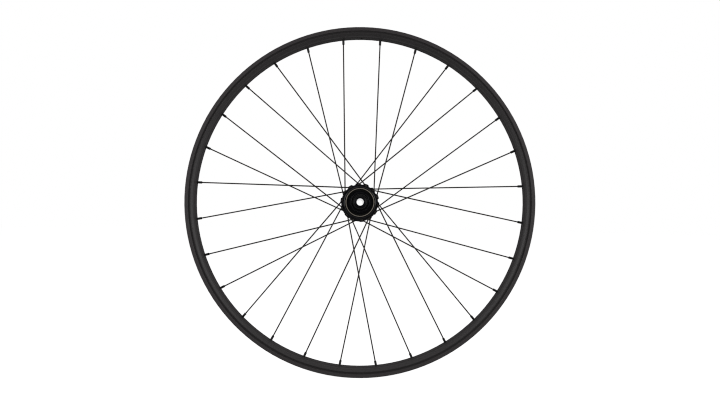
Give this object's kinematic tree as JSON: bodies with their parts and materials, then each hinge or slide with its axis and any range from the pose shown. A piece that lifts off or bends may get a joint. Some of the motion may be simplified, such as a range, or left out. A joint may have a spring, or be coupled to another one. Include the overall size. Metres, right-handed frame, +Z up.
{
  "type": "bicycle wheel",
  "caption": "Rear bicycle wheel without a tyre: grooved hollow rim, crossed bent-head spokes, ratchet hub with splined cassette body and a through bore.",
  "frame": {"origin": "centre of the wheel, on the axle midway between the two end faces", "axes": "+Y along the axle towards the disc side, +Z up through the valve hole, +X to the right seen from the drive side"},
  "size_m": [0.634, 0.148, 0.634],
  "materials": {
    "rim_anodised": "satin black anodised",
    "hub_anodised": "satin black anodised",
    "cap_anodised": "satin black anodised",
    "cassette_anodised": "satin dark grey anodised",
    "spoke_black": "black oxide coat, semi-gloss",
    "nipple_black": "black anodised",
    "ring_metal": "turned bare metal, warm grey",
    "seal_rubber": "matt black rubber",
    "axle_alloy": "turned bare alloy",
    "ratchet_steel": "hardened steel",
    "spring_steel": "drawn wire",
    "bearing_steel": "ground and polished"
  },
  "bodies": {
    "axle": {"axle": "axle_alloy", "drive_end_cap": "cap_anodised", "disc_end_cap": "cap_anodised", "ratchet_spacer": "axle_alloy", "cassette_spacer": "axle_alloy", "drive_hub_bearing_inner_ring": "bearing_steel", "disc_hub_bearing_inner_ring": "bearing_steel", "inner_cassette_bearing_inner_ring": "bearing_steel", "outer_cassette_bearing_inner_ring": "bearing_steel"},
    "wheel": {"rim": "rim_anodised", "hub_shell": "hub_anodised", "drum_ring": "ring_metal", "drum_seal": "seal_rubber", "hub_ratchet": "ratchet_steel", "spoke_nipples": "nipple_black", "spoke_01": "spoke_black", "spoke_02": "spoke_black", "spoke_03": "spoke_black", "spoke_04": "spoke_black", "spoke_05": "spoke_black", "spoke_06": "spoke_black", "spoke_07": "spoke_black", "spoke_08": "spoke_black", "spoke_09": "spoke_black", "spoke_10": "spoke_black", "spoke_11": "spoke_black", "spoke_12": "spoke_black", "spoke_13": "spoke_black", "spoke_14": "spoke_black", "spoke_15": "spoke_black", "spoke_16": "spoke_black", "spoke_17": "spoke_black", "spoke_18": "spoke_black", "spoke_19": "spoke_black", "spoke_20": "spoke_black", "spoke_21": "spoke_black", "spoke_22": "spoke_black", "spoke_23": "spoke_black", "spoke_24": "spoke_black", "spoke_25": "spoke_black", "spoke_26": "spoke_black", "spoke_27": "spoke_black", "spoke_28": "spoke_black", "drive_hub_bearing_outer_ring": "bearing_steel", "drive_hub_bearing_seals": "seal_rubber", "disc_hub_bearing_outer_ring": "bearing_steel", "disc_hub_bearing_seals": "seal_rubber"},
    "cassette": {"cassette_body": "cassette_anodised", "ratchet_spring": "spring_steel", "inner_cassette_bearing_outer_ring": "bearing_steel", "inner_cassette_bearing_seals": "seal_rubber", "inner_cassette_bearing_balls": "bearing_steel", "outer_cassette_bearing_outer_ring": "bearing_steel", "outer_cassette_bearing_seals": "seal_rubber", "outer_cassette_bearing_balls": "bearing_steel"},
    "sliding_ratchet": {"cassette_ratchet": "ratchet_steel"},
    "drive_hub_balls": {"drive_hub_bearing_balls": "bearing_steel"},
    "disc_hub_balls": {"disc_hub_bearing_balls": "bearing_steel"}
  },
  "joints": [
    {"name": "wheel_spin", "type": "hinge", "parent": "axle", "child": "wheel", "pos_m": [0, 0, 0], "axis": [0, 1, 0], "continuous": true},
    {"name": "cassette_spin", "type": "hinge", "parent": "wheel", "child": "cassette", "pos_m": [0, 0, 0], "axis": [0, 1, 0], "continuous": true},
    {"name": "ratchet_slide", "type": "slide", "parent": "cassette", "child": "sliding_ratchet", "axis": [0, -1, 0], "range_m": [0, 0.0012], "stiffness_N_per_m": 3000, "springref_m": -0.001, "deforming": ["ratchet_spring"]},
    {"name": "drive_balls_orbit", "type": "hinge", "parent": "axle", "child": "drive_hub_balls", "pos_m": [0, 0, 0], "axis": [0, 1, 0], "continuous": true},
    {"name": "disc_balls_orbit", "type": "hinge", "parent": "axle", "child": "disc_hub_balls", "pos_m": [0, 0, 0], "axis": [0, 1, 0], "continuous": true}
  ],
  "couplings": [
    {"joint": "drive_balls_orbit", "follows": "wheel_spin", "ratio": 0.5923},
    {"joint": "disc_balls_orbit", "follows": "wheel_spin", "ratio": 0.5923}
  ]
}
